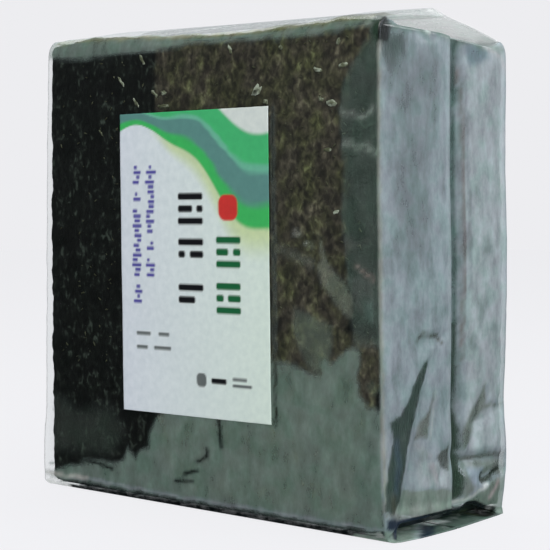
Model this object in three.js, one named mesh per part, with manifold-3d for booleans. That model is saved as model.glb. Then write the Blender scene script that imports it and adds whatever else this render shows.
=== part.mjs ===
// A clear side-gusseted film bag packed with a block of seasoned nori sheets, standing upright,
// with a paper label on its front. Millimetres. +X runs along the front from left to right,
// +Y towards the back and +Z up. The origin is the middle of the base.
import * as THREE from "three";
import { mergeVertices } from "three/addons/utils/BufferGeometryUtils.js";
import Module from "manifold-3d";

// Body of the bag
const HALF_WIDTH = 98; // middle of the front to a side, at the shoulders
const HALF_DEPTH = 43.25;
const FRONT_SHOULDER = 210.5; // the packed block's top edge at the front
const BACK_SHOULDER = 205.5; // and at the back, where it has settled lower
const BASE_ROUNDING = 2.5; // front and back edges of the base
const BASE_TUCK = 7; // how far the base stops short of the sides
const CORNER_CHAMFER = 1.2; // upright corners

// How far the loose film stands out beyond HALF_WIDTH, as [height, at the front, at the back]
const RIGHT_OUTLINE = [
  [0, 4.2, 0.8],
  [8, 3.6, 1.6],
  [20, 2.4, 3.2],
  [32, 2, 3],
  [50, 1.7, 1.4],
  [72, 1.4, 2.2],
  [100, 0.6, 2.9],
  [120, 0.4, 2.7],
  [150, -0.4, 1.5],
  [210, -0.5, 1.4],
];
const LEFT_OUTLINE = [
  [0, 7.6, 4],
  [12, 8.1, 5],
  [27, 7.4, 5.2],
  [38, 6.2, 5],
  [65, 5.8, 4.6],
  [110, 5.2, 4.2],
  [160, 4.4, 3.4],
  [195, 3.2, 2.4],
  [210, 2.8, 2],
];

// Gusset crease down the middle of each side: a sharp lip in front, a slope behind
const GUSSET_LIP = 3.6;
const GUSSET_FLOOR = 6.9;
const GUSSET_FAR = 13;
const GUSSET_DEPTH = 5.5;

// Gabled top, closed by a ridge
const SHOULDER_ROUNDING = [
  { inset: 0, below: 7.5 },
  { inset: 0.5, below: 4.2 },
  { inset: 1.8, below: 1.5 },
  { inset: 5.2, below: 0 },
];
const RIDGE_TOP = 218;
const RIDGE_HALF_THICKNESS = 1.2;
const RIDGE_BEAD = 0.6;
const RIDGE_FROM = -72; // the ridge is level between these two
const RIDGE_TO = 91;
const RIDGE_DROP = 4;
const ROOF_BELLY = 0.6; // the roof panels bow up between shoulder and ridge

// Hollows that the folded-in side panels leave under the gable and above the base:
// the mouth's outline on the side as [y, z], anticlockwise, and the point that the hollow runs in to
const TOP_MOUTH = [
  [-38, 207.9],
  [-1, 206.4],
  [6, 205],
  [25, 202.8],
  [38, 201],
  [38, 202.6],
  [0, 212],
  [-38, 208.6],
];
const TOP_APEX = { inward: 40, y: 0, z: 215 };
const BASE_MOUTH = [
  [-36, 1.5],
  [0, 1.5],
  [36, 1.8],
  [37, 4],
  [28, 6],
  [21, 8.8],
  [15, 9.4],
  [10, 7.8],
  [-34, 8.3],
  [-40, 4.6],
];
const BASE_APEX = { inward: 40, y: 2, z: 4 };
const MOUTH_OVERSHOOT = 1.25; // each hollow is cut from beyond the side

// Flaps of the base that lie on the table beside the bag, as [x, y]
const FLAP_THICKNESS = 1.4;
const RIGHT_FLAP = [
  [84, -38],
  [96, -39.4],
  [105.7, -40.8],
  [107, -25],
  [106.6, -2],
  [102.4, 36],
  [86, 38],
];
const LEFT_FLAP = [
  [-84, -38],
  [-86, 38],
  [-101, 37],
  [-104.5, 5],
  [-105.5, -26],
  [-104.6, -40.6],
  [-95, -39.4],
];

// Folds in the side film: a valley from one [y, z] to another, its depth and half width at each end
const RIGHT_FOLDS = [
  { from: [-12, 72], to: [-29, 10], depth: [0.8, 3.4], width: [1.6, 4.6] },
  { from: [-18, 79], to: [-1, 81], depth: [0.6, 0.6], width: [2, 2] },
  { from: [27, 56], to: [14, 24], depth: [1.2, 1.8], width: [2.5, 3] },
  { from: [20, 42], to: [43, 48], depth: [1.4, 0.8], width: [2.5, 2.5] },
  { from: [13, 27], to: [44, 25], depth: [1.6, 1.6], width: [2.4, 3] },
  { from: [26, 18], to: [44, 21], depth: [2.4, 1.8], width: [3, 3] },
  { from: [-4, 22], to: [2, 30], depth: [1.6, 1.2], width: [3, 4] },
];
const LEFT_FOLDS = [
  { from: [-14, 64], to: [-26, 8], depth: [0.8, 2.6], width: [2, 4.2] },
  { from: [18, 90], to: [30, 12], depth: [0.8, 2.6], width: [2, 4] },
  { from: [-36, 34], to: [0, 28], depth: [1.2, 1.4], width: [2.6, 3] },
  { from: [-20, 168], to: [-6, 196], depth: [0.6, 1.4], width: [2, 3] },
];
const PANEL_SWELL = 1.3; // each half of a side bows out between its folds

// Front and back bow out a little over the block, less and less towards their edges
const FRONT_SWELL = 1;
const BACK_SWELL = 1.6;
const SWELL_ARC = 1.45; // radians of the bow from the middle to a side

// Paper label on the front
const LABEL = { left: -50.4, right: 40.2, bottom: 41.8, top: 176.3, turn: 0.8, thickness: 0.4 };
const GAP = 0.3;

// Fineness
const WELD = 1e-4; // points closer than this are one
const BASE_HUB = [6, 3, 0]; // where the flat base's triangles meet
const PANEL_STEPS = 22;
const GUSSET_STEPS = { front: 8, back: 6 };
const BASE_RINGS = 3;
const BODY_RINGS = 20;
const BODY_CROWDING = 1.5; // rings sit closer together near the base
const ROOF_STEPS = [0.3, 0.6, 0.85, 1];
const LABEL_STEPS = { across: 9, up: 13 };

const { lerp, clamp, smoothstep, degToRad } = THREE.MathUtils;

const range = (count) => Array.from({ length: count + 1 }, (_, i) => i / count);
const between = (from, to, count) => range(count).map((t) => lerp(from, to, t));

// Interpolates rows of [height, at the front, at the back] to the pair at one height
function outlineOf(rows) {
  const heights = rows.map(([height]) => height);
  const pairs = rows.flatMap(([, front, back]) => [front, back]);
  return new THREE.LinearInterpolant(heights, pairs, 2);
}

const rightOutline = outlineOf(RIGHT_OUTLINE);
const leftOutline = outlineOf(LEFT_OUTLINE);

function halfWidth(side, y, z) {
  const [front, back] = (side > 0 ? rightOutline : leftOutline).evaluate(z);
  return HALF_WIDTH + lerp(front, back, (y / HALF_DEPTH + 1) / 2);
}

function shoulderHeight(along) {
  return lerp(FRONT_SHOULDER, BACK_SHOULDER, (along + 1) / 2);
}

function ridgeHeight(x) {
  const past = Math.max(RIDGE_FROM - x, 0) / (RIDGE_FROM + HALF_WIDTH);
  const over = Math.max(x - RIDGE_TO, 0) / (HALF_WIDTH - RIDGE_TO);
  return RIDGE_TOP - RIDGE_BEAD - RIDGE_DROP * (smoothstep(past, 0, 1) + smoothstep(over, 0, 1));
}

function gussetDepth(y) {
  const rise = clamp((y - GUSSET_LIP) / (GUSSET_FLOOR - GUSSET_LIP), 0, 1);
  const fall = clamp((GUSSET_FAR - y) / (GUSSET_FAR - GUSSET_FLOOR), 0, 1);
  return GUSSET_DEPTH * Math.min(rise, fall);
}

function foldDepth(fold, y, z) {
  const start = new THREE.Vector2(...fold.from);
  const run = new THREE.Vector2(...fold.to).sub(start);
  const point = new THREE.Vector2(y, z).sub(start);
  const t = clamp(point.dot(run) / run.lengthSq(), 0, 1);
  const off = point.addScaledVector(run, -t).length();
  return lerp(...fold.depth, t) * Math.exp(-((off / lerp(...fold.width, t)) ** 2));
}

function sideRelief(side, y, z) {
  const folds = side > 0 ? RIGHT_FOLDS : LEFT_FOLDS;
  const creased = folds.reduce((sum, fold) => sum + foldDepth(fold, y, z), 0);
  const [near, far] = y < GUSSET_LIP ? [-HALF_DEPTH, GUSSET_LIP] : [GUSSET_FAR, HALF_DEPTH];
  const across = clamp((y - near) / (far - near), 0, 1);
  return PANEL_SWELL * 4 * across * (1 - across) - creased;
}

function panelSwell(along, x, z) {
  const bow = Math.cos((x / HALF_WIDTH) * SWELL_ARC) * Math.sin((Math.PI * z) / FRONT_SHOULDER);
  return (along < 0 ? FRONT_SWELL : BACK_SWELL) * Math.max(bow, 0);
}

// Columns run round the bag: front, right side, back, left side. across and along are -1 to 1.
function bagColumns() {
  const flat = 1 - CORNER_CHAMFER / HALF_WIDTH;
  const corner = HALF_DEPTH - CORNER_CHAMFER;
  const front = between(-flat, flat, PANEL_STEPS).map((across) => ({ across, along: -1, side: 0 }));
  const depths = [
    ...between(-corner, GUSSET_LIP, GUSSET_STEPS.front),
    GUSSET_FLOOR,
    ...between(GUSSET_FAR, corner, GUSSET_STEPS.back),
  ];
  const right = depths.map((y) => ({ across: 1, along: y / HALF_DEPTH, side: 1 }));
  const back = front.map(({ across }) => ({ across: -across, along: 1, side: 0 }));
  const left = [...right].reverse().map(({ along }) => ({ across: -1, along, side: -1 }));
  return { columns: [...front, ...right, ...back, ...left], perPanel: front.length, perSide: right.length };
}

// Levels run from the base to the ridge. Each gives a height, how deep the bag is and its tuck.
function bagLevels() {
  const levels = range(BASE_RINGS).map((t) => {
    const angle = (t * Math.PI) / 2;
    return {
      height: () => BASE_ROUNDING * (1 - Math.cos(angle)),
      depth: HALF_DEPTH - BASE_ROUNDING * (1 - Math.sin(angle)),
      tuck: BASE_TUCK * (1 - Math.sin(angle)),
      relief: t ** 2,
    };
  });
  const bodyTop = (along) => shoulderHeight(along) - SHOULDER_ROUNDING[0].below;
  for (const t of range(BODY_RINGS).slice(1, -1)) {
    levels.push({
      height: (along) => lerp(BASE_ROUNDING, bodyTop(along), t ** BODY_CROWDING),
      depth: HALF_DEPTH,
      tuck: 0,
      relief: 1,
    });
  }
  for (const { inset, below } of SHOULDER_ROUNDING) {
    levels.push({
      height: (along) => shoulderHeight(along) - below,
      depth: HALF_DEPTH - inset,
      tuck: 0,
      relief: below / SHOULDER_ROUNDING[0].below,
    });
  }
  const roofStart = HALF_DEPTH - SHOULDER_ROUNDING.at(-1).inset;
  for (const t of ROOF_STEPS) {
    const belly = ROOF_BELLY * Math.sin(Math.PI * t);
    levels.push({
      height: (along, x) => lerp(shoulderHeight(along), ridgeHeight(x), t) + belly,
      depth: lerp(roofStart, RIDGE_HALF_THICKNESS, t),
      tuck: 0,
      relief: 0,
    });
  }
  return levels;
}

function bagPoint(column, level) {
  const { across, along, side } = column;
  const y = along * level.depth;
  const z = level.height(along, across * HALF_WIDTH);
  if (side === 0) {
    const x = across * (halfWidth(across, y, z) - level.tuck);
    return [x, y + along * panelSwell(along, x, z) * level.relief, z];
  }
  const relief = sideRelief(side, y, z) - gussetDepth(y);
  return [side * (halfWidth(side, y, z) - level.tuck + relief * level.relief), y, z];
}

function bagGeometry() {
  const { columns, perPanel, perSide } = bagColumns();
  const levels = bagLevels();
  const count = columns.length;
  const points = levels.flatMap((level) => columns.map((column) => bagPoint(column, level)));
  const faces = [];
  const quad = (a, b, c, d) => faces.push([a, b, c], [a, c, d]);
  for (let row = 0; row < levels.length - 1; row += 1) {
    for (let i = 0; i < count; i += 1) {
      const j = (i + 1) % count;
      quad(row * count + i, row * count + j, (row + 1) * count + j, (row + 1) * count + i);
    }
  }
  // The flat base is a fan round a point beside the origin
  const hub = points.push(BASE_HUB) - 1;
  for (let i = 0; i < count; i += 1) faces.push([hub, (i + 1) % count, i]);
  // The ridge's bead is a strip from front to back, and its two ends close as fans
  const last = (levels.length - 1) * count;
  const opposite = (i) => 2 * perPanel + perSide - 1 - i;
  const bead = between(0, perPanel - 1, perPanel - 1).map((i) => {
    const [x, , z] = points[last + i];
    return points.push([x, 0, z + RIDGE_BEAD]) - 1;
  });
  for (let i = 0; i < perPanel - 1; i += 1) {
    quad(last + i, last + i + 1, bead[i + 1], bead[i]);
    quad(bead[i], bead[i + 1], last + opposite(i + 1), last + opposite(i));
  }
  const fan = (centre, from, to) => {
    for (let i = from; i < to; i += 1) faces.push([centre, last + (i % count), last + ((i + 1) % count)]);
  };
  fan(bead.at(-1), perPanel - 1, perPanel + perSide);
  fan(bead[0], 2 * perPanel + perSide - 1, count);
  return indexed(points, faces);
}

function indexed(points, faces) {
  const geometry = new THREE.BufferGeometry();
  geometry.setAttribute("position", new THREE.Float32BufferAttribute(points.flat(), 3));
  geometry.setIndex(faces.flat());
  return geometry;
}

// A hollow narrows from a mouth on the side to a point inside the bag
function hollowGeometry(side, mouth, apex) {
  const tip = new THREE.Vector3(side * (HALF_WIDTH - apex.inward), apex.y, apex.z);
  const rim = mouth.map(([y, z]) => {
    const onSide = new THREE.Vector3(side * halfWidth(side, y, z), y, z);
    return onSide.sub(tip).multiplyScalar(MOUTH_OVERSHOOT).add(tip).toArray();
  });
  const lid = THREE.ShapeUtils.triangulateShape(rim.map(([, y, z]) => new THREE.Vector2(y, z)), []);
  const cone = rim.map((_, i) => [rim.length, (i + 1) % rim.length, i]);
  const outwards = [...lid, ...cone].map(([a, b, c]) => (side > 0 ? [a, b, c] : [a, c, b]));
  return indexed([...rim, tip.toArray()], outwards);
}

function flapGeometry(outline) {
  const shape = new THREE.Shape(outline.map(([x, y]) => new THREE.Vector2(x, y)));
  return new THREE.ExtrudeGeometry(shape, { depth: FLAP_THICKNESS, bevelEnabled: false });
}

const wasm = await Module();
wasm.setup();

function solidFrom(geometry) {
  const bare = geometry.clone();
  bare.deleteAttribute("normal");
  bare.deleteAttribute("uv");
  const merged = mergeVertices(bare, WELD);
  const vertProperties = new Float32Array(merged.attributes.position.array);
  return new wasm.Manifold(
    new wasm.Mesh({ numProp: 3, vertProperties, triVerts: new Uint32Array(merged.index.array) }),
  );
}

function geometryFrom(solid) {
  const { vertProperties, triVerts } = solid.getMesh();
  const geometry = new THREE.BufferGeometry();
  geometry.setAttribute("position", new THREE.BufferAttribute(vertProperties, 3));
  geometry.setIndex(new THREE.BufferAttribute(triVerts, 1));
  geometry.computeVertexNormals();
  return geometry;
}

function filmBag() {
  let solid = solidFrom(bagGeometry());
  for (const side of [-1, 1]) {
    solid = solid.subtract(solidFrom(hollowGeometry(side, TOP_MOUTH, TOP_APEX)));
    solid = solid.subtract(solidFrom(hollowGeometry(side, BASE_MOUTH, BASE_APEX)));
  }
  for (const outline of [LEFT_FLAP, RIGHT_FLAP]) solid = solid.add(solidFrom(flapGeometry(outline)));
  return geometryFrom(solid);
}

// A thin slab that follows the front of the bag
function labelGeometry() {
  const { across, up } = LABEL_STEPS;
  const middle = { x: (LABEL.left + LABEL.right) / 2, z: (LABEL.bottom + LABEL.top) / 2 };
  const turn = new THREE.Vector2();
  const points = [GAP, GAP + LABEL.thickness].flatMap((off) =>
    range(up).flatMap((t) =>
      range(across).map((s) => {
        turn.set(lerp(LABEL.left, LABEL.right, s) - middle.x, lerp(LABEL.bottom, LABEL.top, t) - middle.z);
        turn.rotateAround(new THREE.Vector2(), degToRad(LABEL.turn));
        const [x, z] = [turn.x + middle.x, turn.y + middle.z];
        return [x, -HALF_DEPTH - panelSwell(-1, x, z) - off, z];
      }),
    ),
  );
  const wide = across + 1;
  const sheet = wide * (up + 1);
  const faces = [];
  for (let row = 0; row < up; row += 1) {
    for (let i = 0; i < across; i += 1) {
      const a = row * wide + i;
      faces.push([a, a + wide, a + wide + 1], [a, a + wide + 1, a + 1]);
      faces.push([sheet + a, sheet + a + wide + 1, sheet + a + wide]);
      faces.push([sheet + a, sheet + a + 1, sheet + a + wide + 1]);
    }
  }
  const rim = [
    ...between(0, across - 1, across - 1),
    ...between(0, up - 1, up - 1).map((row) => row * wide + across),
    ...between(0, across - 1, across - 1).map((i) => up * wide + across - i),
    ...between(0, up - 1, up - 1).map((row) => (up - row) * wide),
  ];
  rim.forEach((a, i) => {
    const b = rim[(i + 1) % rim.length];
    faces.push([a, b, sheet + b], [a, sheet + b, sheet + a]);
  });
  return indexed(points, faces);
}

function named(name, geometry, finish) {
  const mesh = new THREE.Mesh(geometry, new THREE.MeshStandardMaterial(finish));
  mesh.name = name;
  return mesh;
}

const pack = new THREE.Group();
pack.add(named("bag", filmBag(), { color: 0x26302a, roughness: 0.25, metalness: 0 }));
pack.add(named("label", labelGeometry(), { color: 0xd9dfe0, roughness: 0.6, metalness: 0 }));

export default pack;
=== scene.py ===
"""Seasoned nori sheets, stacked and packed upright in a clear side-gusseted film bag with a label.

The row frame is used throughout: +X along the front from left to right, +Y towards the back,
+Z up, with the origin in the middle of the base. Shapes are worked out in millimetres and
turned to metres when a piece is finished.
"""
import math
import random
from functools import partial

import bmesh
import bpy
from mathutils import Matrix, Vector, noise


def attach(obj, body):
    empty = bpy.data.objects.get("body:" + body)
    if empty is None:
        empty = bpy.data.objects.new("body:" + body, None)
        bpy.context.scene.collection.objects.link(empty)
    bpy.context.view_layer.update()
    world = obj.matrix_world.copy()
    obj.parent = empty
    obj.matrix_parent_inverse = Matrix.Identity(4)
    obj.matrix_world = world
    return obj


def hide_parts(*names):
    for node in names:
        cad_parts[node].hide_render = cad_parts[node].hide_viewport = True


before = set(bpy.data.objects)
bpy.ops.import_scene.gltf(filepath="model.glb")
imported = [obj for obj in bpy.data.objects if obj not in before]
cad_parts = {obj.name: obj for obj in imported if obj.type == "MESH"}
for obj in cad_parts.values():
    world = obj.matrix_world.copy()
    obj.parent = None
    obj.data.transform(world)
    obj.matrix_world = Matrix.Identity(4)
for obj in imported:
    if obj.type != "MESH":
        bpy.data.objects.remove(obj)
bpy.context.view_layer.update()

MM = 0.001
FRONT, BACK = -1, 1  # the two faces, along Y
LEFT, RIGHT = -1, 1  # the two sides, along X

# Sizes of the bag, in millimetres
HALF_WIDTH = 98.0
HALF_DEPTH = 43.25
FRONT_SHOULDER, BACK_SHOULDER = 210.5, 205.5
RIDGE_TOP = 217.6
RIDGE_FROM, RIDGE_TO, RIDGE_DROP = -72.0, 91.0, 4.0  # past these places the ridge drops towards the sides
ROOF_BOW = 0.6  # how far a slope of the gable bows up
BASE_ROUNDING = 2.5
SHOULDER_ROUNDING, SHOULDER_REACH = 6.5, 5.2  # down the panel and inwards
GUSSET_LIP, GUSSET_FLOOR, GUSSET_FAR, GUSSET_DEPTH = 3.6, 6.9, 13.0, 5.5
CORNER_RUN = 9.0  # how far from an upright edge the side film takes to its own form
LIP_REACH = 48.0  # the height up to which the side film's rings follow its bottom edge
SETTLING = -2.0, 4.0  # from before to past the edge of a tuck, where the film comes to lie flat
SHOULDER_EASE = 0.6  # the share of the side film's folds that is gone at the top of the shoulder
SAME_PLACE = 1e-4  # places nearer than this are one
FILM_LIFT = 0.3  # the base film above the table
PLY = 0.35  # gap between two plies of film that lie on each other

# The nori block
SHEETS = 100
SHEET_THICKNESS = 0.34
SHEET_INSET = 1.1  # between the film's plain outer form and the sheets
FOLD_GAP = 0.7  # between the sheets and the film folded in below and above them
BLOCK_LEFT, BLOCK_RIGHT = -101.2, 96.8
BLOCK_HALF_DEPTH = HALF_DEPTH - SHEET_INSET
BLOCK_MIDDLE = 106  # height of the sheets' middle
FACED_FOOT, FACED_HEAD_GAP = 1.6, 0.4  # of the first and the last sheet: the foot, and below the shoulder

# The label
LABEL_LEFT, LABEL_RIGHT, LABEL_FOOT, LABEL_HEAD = -50.4, 40.2, 41.8, 176.3
LABEL_TURN = math.radians(0.8)
LABEL_THICKNESS = 0.18
LABEL_GAP = 0.1  # between the film and the label
LABEL_COLUMNS, LABEL_ROWS = 146, 216


def clamp(x):
    return min(max(x, 0.0), 1.0)


def smoothstep(low, high, x):
    t = clamp((x - low) / (high - low))
    return t * t * (3 - 2 * t)


def lerp(a, b, t):
    return a + (b - a) * t


def colour(code):
    """An sRGB hex value as linear red, green, blue and alpha."""
    channels = [int(code[i:i + 2], 16) / 255 for i in (1, 3, 5)]
    return tuple(c / 12.92 if c <= 0.04045 else ((c + 0.055) / 1.055) ** 2.4 for c in channels) + (1.0,)


def along_line(points, x):
    """The height of an open line of (x, height) points at x."""
    for (x0, h0), (x1, h1) in zip(points, points[1:]):
        if x <= x1:
            return lerp(h0, h1, clamp((x - x0) / (x1 - x0)))
    return points[-1][1]


# ---------------------------------------------------------------- form of the film

# How far the loose film stands out beyond HALF_WIDTH on the way up, as (z, out): at the front and at the back
OUTLINES = {
    RIGHT: (
        ((0, 4.2), (8, 3.6), (20, 2.4), (32, 2.0), (50, 1.7), (72, 1.4), (100, 0.6), (120, 0.4), (150, -0.4),
         (210, -0.5)),
        ((0, 0.8), (8, 1.6), (20, 3.2), (32, 3.0), (50, 1.4), (72, 2.2), (100, 2.9), (120, 2.7), (150, 1.5),
         (210, 1.4)),
    ),
    LEFT: (
        ((0, 7.6), (12, 8.1), (27, 7.4), (38, 6.2), (65, 5.8), (110, 5.2), (160, 4.4), (195, 3.2),
         (210, 2.8)),
        ((0, 4.0), (12, 5.0), (27, 5.2), (38, 5.0), (65, 4.6), (110, 4.2), (160, 3.4), (195, 2.4),
         (210, 2.0)),
    ),
}

# How far the front shoulder rises or drops where it lies on the sheets' heads, as (x, rise)
FRONT_CREST = ((-98, 1.0), (-81, 1.7), (-67, 1.6), (-54, 0.8), (-41, 1.2), (-28, 0.0), (9, -0.6), (20, -0.8),
               (32, -0.2), (50, 0.4), (65, 1.0), (76, 2.0), (91, 1.9), (98, 0.6))

# Height of the side film's top edge and bottom edge along the bag's depth, as (y, z)
TOP_LIP = ((-43, 210.8), (-39.5, 210.0), (-36.5, 207.9), (-1, 206.4), (6, 205.0), (25, 202.8), (43, 201.4))
BASE_LIP = ((-43, 4.5), (-34, 8.3), (10, 7.8), (15, 9.4), (21, 8.8), (28, 6.0), (37, 4.0), (43, 2.8))
TOP_APEX = 215.6
BASE_REST = 1.7  # height of the tucked film under the block
TUCK_DROP = 3.4  # how far in from the rounding the tucked film takes to come down to it

# How far the base's flaps reach out at each side, as (y, x)
FLAP_EDGE = {
    RIGHT: ((-43, 103.0), (-39, 105.6), (-25, 107.0), (-2, 106.6), (36, 102.4), (43, 101.0)),
    LEFT: ((-43, 102.5), (-39, 103.6), (-26, 105.5), (5, 104.5), (37, 101.0), (43, 100.0)),
}

# Folds in the side film: a valley from one (y, z) to another, with its depth and half width at each end
FOLDS = {
    RIGHT: (
        ((-12, 72), (-29, 10), (0.8, 3.4), (1.6, 4.6)),
        ((-18, 79), (-1, 81), (0.6, 0.6), (2.0, 2.0)),
        ((27, 56), (14, 24), (1.2, 1.8), (2.5, 3.0)),
        ((20, 42), (43, 48), (1.4, 0.8), (2.5, 2.5)),
        ((13, 27), (44, 25), (1.6, 1.6), (2.4, 3.0)),
        ((26, 18), (44, 21), (2.4, 1.8), (3.0, 3.0)),
        ((-4, 22), (2, 30), (1.6, 1.2), (3.0, 4.0)),
    ),
    LEFT: (
        ((-14, 64), (-26, 8), (0.8, 2.6), (2.0, 4.2)),
        ((18, 90), (30, 12), (0.8, 2.6), (2.0, 4.0)),
        ((-36, 34), (0, 28), (1.2, 1.4), (2.6, 3.0)),
        ((-20, 168), (-6, 196), (0.6, 1.4), (2.0, 3.0)),
    ),
}

# How far the film bows out in its middle
SIDE_SWELL = 1.3
PANEL_SWELL = {FRONT: 1.0, BACK: 1.6}
BOW_TURN = 1.45  # where a panel's cosine bow has come to at its upright edges, in radians


def backward(y):
    """How far back a place lies, from 0 at the front to 1 at the back."""
    return (y / HALF_DEPTH + 1) / 2


def half_width(side, y, z):
    """How far out a side film lies, before its own swell and folds."""
    front, back = OUTLINES[side]
    return HALF_WIDTH + lerp(along_line(front, z), along_line(back, z), backward(y))


def shoulder_height(y):
    return lerp(FRONT_SHOULDER, BACK_SHOULDER, backward(y))


def ridge_height(x):
    past = max(RIDGE_FROM - x, 0) / (RIDGE_FROM + HALF_WIDTH)
    over = max(x - RIDGE_TO, 0) / (HALF_WIDTH - RIDGE_TO)
    return RIDGE_TOP - RIDGE_DROP * (smoothstep(0, 1, past) + smoothstep(0, 1, over))


def gusset_depth(y):
    rise = clamp((y - GUSSET_LIP) / (GUSSET_FLOOR - GUSSET_LIP))
    fall = clamp((GUSSET_FAR - y) / (GUSSET_FAR - GUSSET_FLOOR))
    return GUSSET_DEPTH * min(rise, fall)


def fold_depth(fold, y, z):
    (y0, z0), (y1, z1), depths, widths = fold
    run_y, run_z = y1 - y0, z1 - z0
    t = clamp(((y - y0) * run_y + (z - z0) * run_z) / (run_y ** 2 + run_z ** 2))
    off = math.hypot(y - y0 - run_y * t, z - z0 - run_z * t)
    return lerp(*depths, t) * math.exp(-((off / lerp(*widths, t)) ** 2))


def crinkle(place, grain, seed):
    """Smooth noise from -1 to 1 whose bumps are about grain millimetres across. Each use has its own seed."""
    return noise.noise(Vector(place) / grain + Vector((seed, seed * 1.7, seed * 0.6)))


def side_relief(side, y, z):
    """The side film's swell, highest midway between two upright folds, less the depth of its creases."""
    creased = sum(fold_depth(fold, y, z) for fold in FOLDS[side])
    near, far = (-HALF_DEPTH, GUSSET_LIP) if y < GUSSET_LIP else (GUSSET_FAR, HALF_DEPTH)
    across = clamp((y - near) / (far - near))
    ripple = 0.35 * crinkle((y, z * 0.35, side), 9, 3.1) + 0.16 * crinkle((y, z * 0.6, side), 4, 7.7)
    return (SIDE_SWELL + ripple * 1.4) * 4 * across * (1 - across) - creased


def side_surface(side, y, z):
    """How far out the side film lies, with its swell, folds and gusset."""
    return half_width(side, y, z) + side_relief(side, y, z) - gusset_depth(y)


def panel_swell(face, x, z):
    """How far the front or the back bows out."""
    bow = math.cos(x / HALF_WIDTH * BOW_TURN) * math.sin(math.pi * clamp(z / FRONT_SHOULDER))
    return PANEL_SWELL[face] * max(bow, 0)


def panel_ripple(face, x, z):
    """The film's small waves over the block: slight in the middle, stronger towards the upright edges."""
    edge = smoothstep(70, 96, abs(x))
    broad = 0.30 * crinkle((x, face * 40, z), 34, 1.3)
    fine = (0.05 + 0.3 * edge) * crinkle((x * (1 - 0.4 * edge), face * 40, z * 1.3), 9, 5.9)
    return broad + fine


FRONT_COLUMNS, SIDE_COLUMNS, BACK_COLUMNS = 150, 72, 60
BASE_LEVELS, BODY_LEVELS, ROOF_LEVELS, ROUND_LEVELS = 16, 128, 16, 6


def stations():
    """The columns that run round the bag, as (panel or side, which one, share across or y)."""
    depths = [lerp(-HALF_DEPTH, HALF_DEPTH, i / SIDE_COLUMNS) for i in range(SIDE_COLUMNS)]
    ring = [("panel", FRONT, lerp(-1, 1, i / FRONT_COLUMNS)) for i in range(FRONT_COLUMNS)]
    ring += [("side", RIGHT, y) for y in depths]
    ring += [("panel", BACK, lerp(1, -1, i / BACK_COLUMNS)) for i in range(BACK_COLUMNS)]
    ring += [("side", LEFT, -y) for y in depths]
    return ring + ring[:1]


def levels():
    """The rings from the base's seam to the ridge, as (stage, how far through it)."""
    rings = [("base", i / BASE_LEVELS) for i in range(BASE_LEVELS)]
    rings += [("foot", i / ROUND_LEVELS) for i in range(ROUND_LEVELS)]
    rings += [("body", (i / BODY_LEVELS) ** 1.25) for i in range(BODY_LEVELS)]
    rings += [("shoulder", i / ROUND_LEVELS) for i in range(ROUND_LEVELS)]
    rings += [("roof", i / ROOF_LEVELS) for i in range(ROOF_LEVELS + 1)]
    return rings


def profile(stage, t, face, x):
    """Half depth and height of a panel's film at one ring."""
    shoulder = FRONT_SHOULDER if face == FRONT else BACK_SHOULDER
    turn = t * math.pi / 2
    if stage == "base":
        return lerp(PLY, HALF_DEPTH - BASE_ROUNDING, t), FILM_LIFT
    if stage == "foot":
        low = BASE_ROUNDING - FILM_LIFT
        return HALF_DEPTH - BASE_ROUNDING * (1 - math.sin(turn)), FILM_LIFT + low * (1 - math.cos(turn))
    if stage == "body":
        return HALF_DEPTH, lerp(BASE_ROUNDING, shoulder - SHOULDER_ROUNDING, t)
    if stage == "shoulder":
        inward = SHOULDER_REACH * (1 - math.cos(turn))
        return HALF_DEPTH - inward, shoulder - SHOULDER_ROUNDING * (1 - math.sin(turn))
    roof = lerp(shoulder, ridge_height(x), t) + ROOF_BOW * math.sin(math.pi * t)
    return lerp(HALF_DEPTH - SHOULDER_REACH, PLY, t), roof


def crest(x, face):
    """The rise and fall of the shoulder where the film lies on the sheets' ragged heads."""
    rise = along_line(FRONT_CREST, x) if face == FRONT else 0
    return rise + 0.6 * crinkle((x, face * 9, 0), 8, 6.1) * smoothstep(98, 90, abs(x))


def panel_point(face, across, stage, t):
    side = RIGHT if across >= 0 else LEFT
    depth, z = profile(stage, t, face, across * HALF_WIDTH)
    y = face * depth
    reach = half_width(side, y, z)
    if stage in ("base", "foot"):
        out = smoothstep(0.6, 1.0, abs(across)) * (1 - (t if stage == "foot" else 0))
        reach = lerp(reach, along_line(FLAP_EDGE[side], y), out)
    x = across * reach
    if stage == "body":
        loose = smoothstep(0, 0.04, t) * smoothstep(1, 0.97, t)
        y += face * (panel_swell(face, x, z) + panel_ripple(face, x, z) * loose)
    elif stage == "roof":
        z += 0.25 * crinkle((x, y, face), 14, 9.2) * math.sin(math.pi * t) + crest(x, face) * (1 - t)
    elif stage == "shoulder":
        z += crest(x, face) * t
    return x, y, z


def side_arc(y):
    """How far a column of the side film is from its upright edge. At the gusset's floor it is HALF_DEPTH."""
    near, far = HALF_DEPTH + GUSSET_FLOOR, HALF_DEPTH - GUSSET_FLOOR
    return ((y + HALF_DEPTH) / near if y < GUSSET_FLOOR else (HALF_DEPTH - y) / far) * HALF_DEPTH


def gable_height(y, inward):
    """The height of the film folded in under the gable, that far in from the side."""
    return lerp(along_line(TOP_LIP, y), TOP_APEX, min(inward / HALF_DEPTH, 1))


def tucked_height(lip, inward):
    """The height of the film tucked in at the base, that far in from the rounding under a lip."""
    return BASE_REST + (lip - BASE_REST) * math.exp(-((inward / TUCK_DROP) ** 2))


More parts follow.
